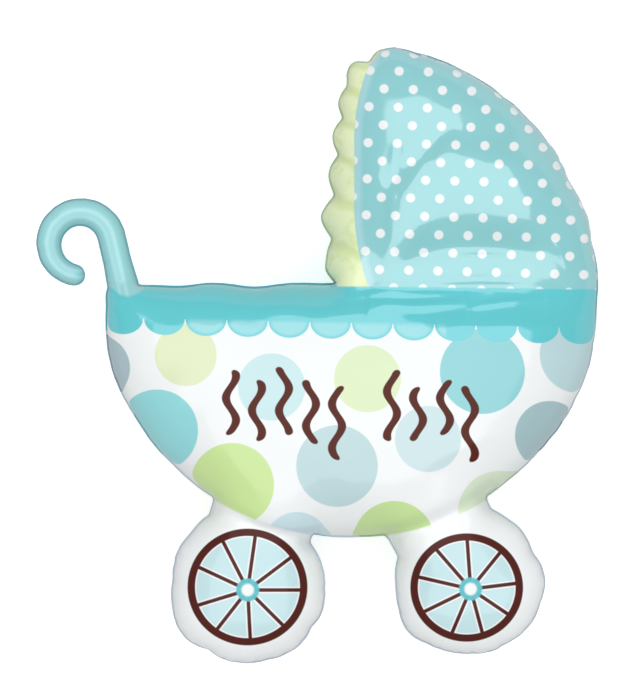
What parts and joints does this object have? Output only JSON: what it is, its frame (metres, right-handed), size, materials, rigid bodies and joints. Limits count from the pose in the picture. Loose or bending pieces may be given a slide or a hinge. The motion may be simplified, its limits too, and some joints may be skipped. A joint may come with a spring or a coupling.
{
  "type": "baby carriage foil balloon",
  "caption": "Inflated foil balloon shaped as a baby carriage with a ruffled hood, a hooked push handle and printed spoked wheels, lying on its back as a party decoration.",
  "frame": {"origin": "middle of the balloon's bounding box, on the surface that it lies on", "axes": "+Y towards the top of the carriage's hood, +X towards the hood's side, +Z out of the printed front, up as it lies"},
  "size_m": [0.713, 0.7844, 0.223],
  "materials": {
    "printed_foil": "glossy pearl print on metallised film"
  },
  "bodies": {
    "root": {"foil_balloon": "printed_foil"}
  },
  "joints": []
}
